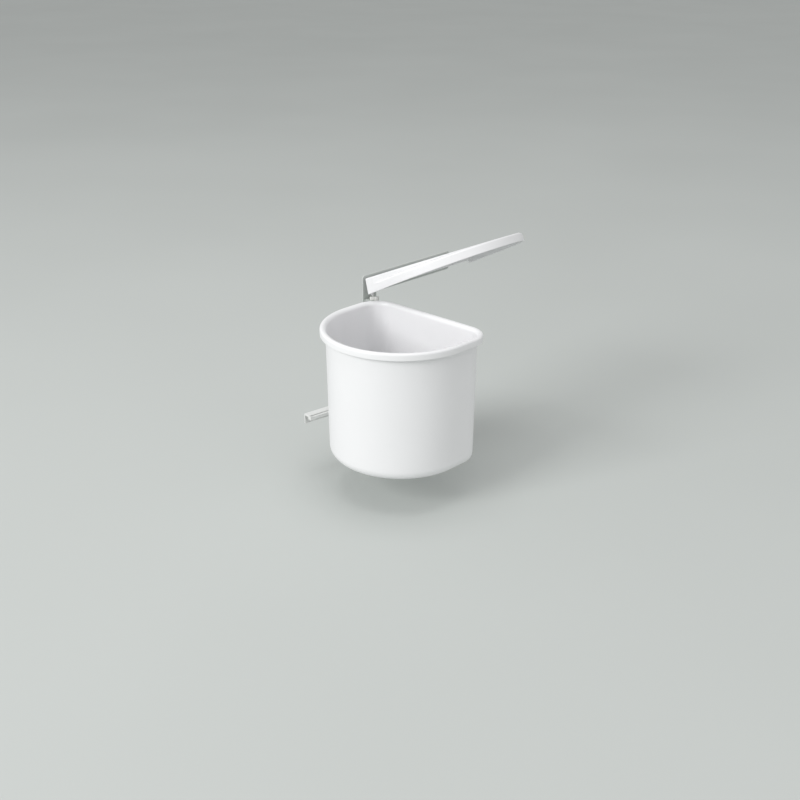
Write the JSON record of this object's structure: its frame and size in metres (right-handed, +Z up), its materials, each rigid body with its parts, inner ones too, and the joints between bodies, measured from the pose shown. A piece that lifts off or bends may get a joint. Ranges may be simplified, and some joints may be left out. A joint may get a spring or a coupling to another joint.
{
  "type": "swing-out waste bin",
  "caption": "D-shaped white waste bin that swings out on a wall bracket as its cupboard door opens, while a cam on the pivot lifts its hinged lid.",
  "frame": {"origin": "midway between the two top screw holes, on the wall side of the plate", "axes": "+X away from the side wall, +Y into the cupboard's depth, +Z up; the bin is drawn swung out, in front of the cupboard"},
  "size_m": [0.302, 0.4812, 0.3601],
  "materials": {
    "painted_steel": "satin",
    "bright_steel": "satin",
    "acetal": "satin",
    "white_plastic": "semi-gloss",
    "rail_plastic": "semi-gloss",
    "rubber_pad": "matte"
  },
  "bodies": {
    "wall_unit": {"wall_plate": "painted_steel", "upper_arm": "painted_steel", "lower_arm": "painted_steel", "upper_bush": "acetal", "lower_bush": "acetal", "cam_washer": "acetal", "front_hinge_bracket": "painted_steel", "rear_hinge_bracket": "painted_steel", "front_hinge_pin": "bright_steel", "rear_hinge_pin": "bright_steel"},
    "hanger": {"pivot_pin": "bright_steel", "retaining_clip": "bright_steel", "pivot_tube": "painted_steel", "roll_pin": "bright_steel", "lift_cam": "acetal", "bucket_hanger": "painted_steel", "buffer_pad": "rubber_pad", "driver_arm": "painted_steel", "driver_pin": "bright_steel"},
    "bucket": {"bucket": "white_plastic"},
    "lid": {"lid": "white_plastic", "lift_pad": "acetal"},
    "shoe": {"guide_shoe": "acetal"},
    "rail": {"door_rail": "rail_plastic", "rail_outer_cap": "rail_plastic", "rail_inner_cap": "rail_plastic"}
  },
  "joints": [
    {"name": "bin_swing", "type": "hinge", "parent": "wall_unit", "child": "hanger", "pos_m": [0.0192, -0.0926, -0.125], "axis": [0, 0, 1], "range_deg": [0, 90]},
    {"name": "lid_lift", "type": "hinge", "parent": "wall_unit", "child": "lid", "pos_m": [0.0075, 0, -0.007], "axis": [0, 1, 0], "range_deg": [0, 27]},
    {"name": "bucket_lift", "type": "slide", "parent": "hanger", "child": "bucket", "axis": [0, 0, 1], "range_m": [0, 0.012]},
    {"name": "shoe_swivel", "type": "hinge", "parent": "hanger", "child": "shoe", "pos_m": [0.0091, -0.183, -0.214], "axis": [0, 0, 1], "range_deg": [0, 6.5]},
    {"name": "rail_slide", "type": "slide", "parent": "shoe", "child": "rail", "axis": [0.1132, 0.9936, 0], "range_m": [0, 0.05]}
  ],
  "couplings": [
    {"joint": "lid_lift", "follows": "bin_swing", "ratio": 0.3},
    {"joint": "shoe_swivel", "follows": "bin_swing", "ratio": 0.072222},
    {"joint": "rail_slide", "follows": "bin_swing", "m_per_rad": 0.03183}
  ]
}
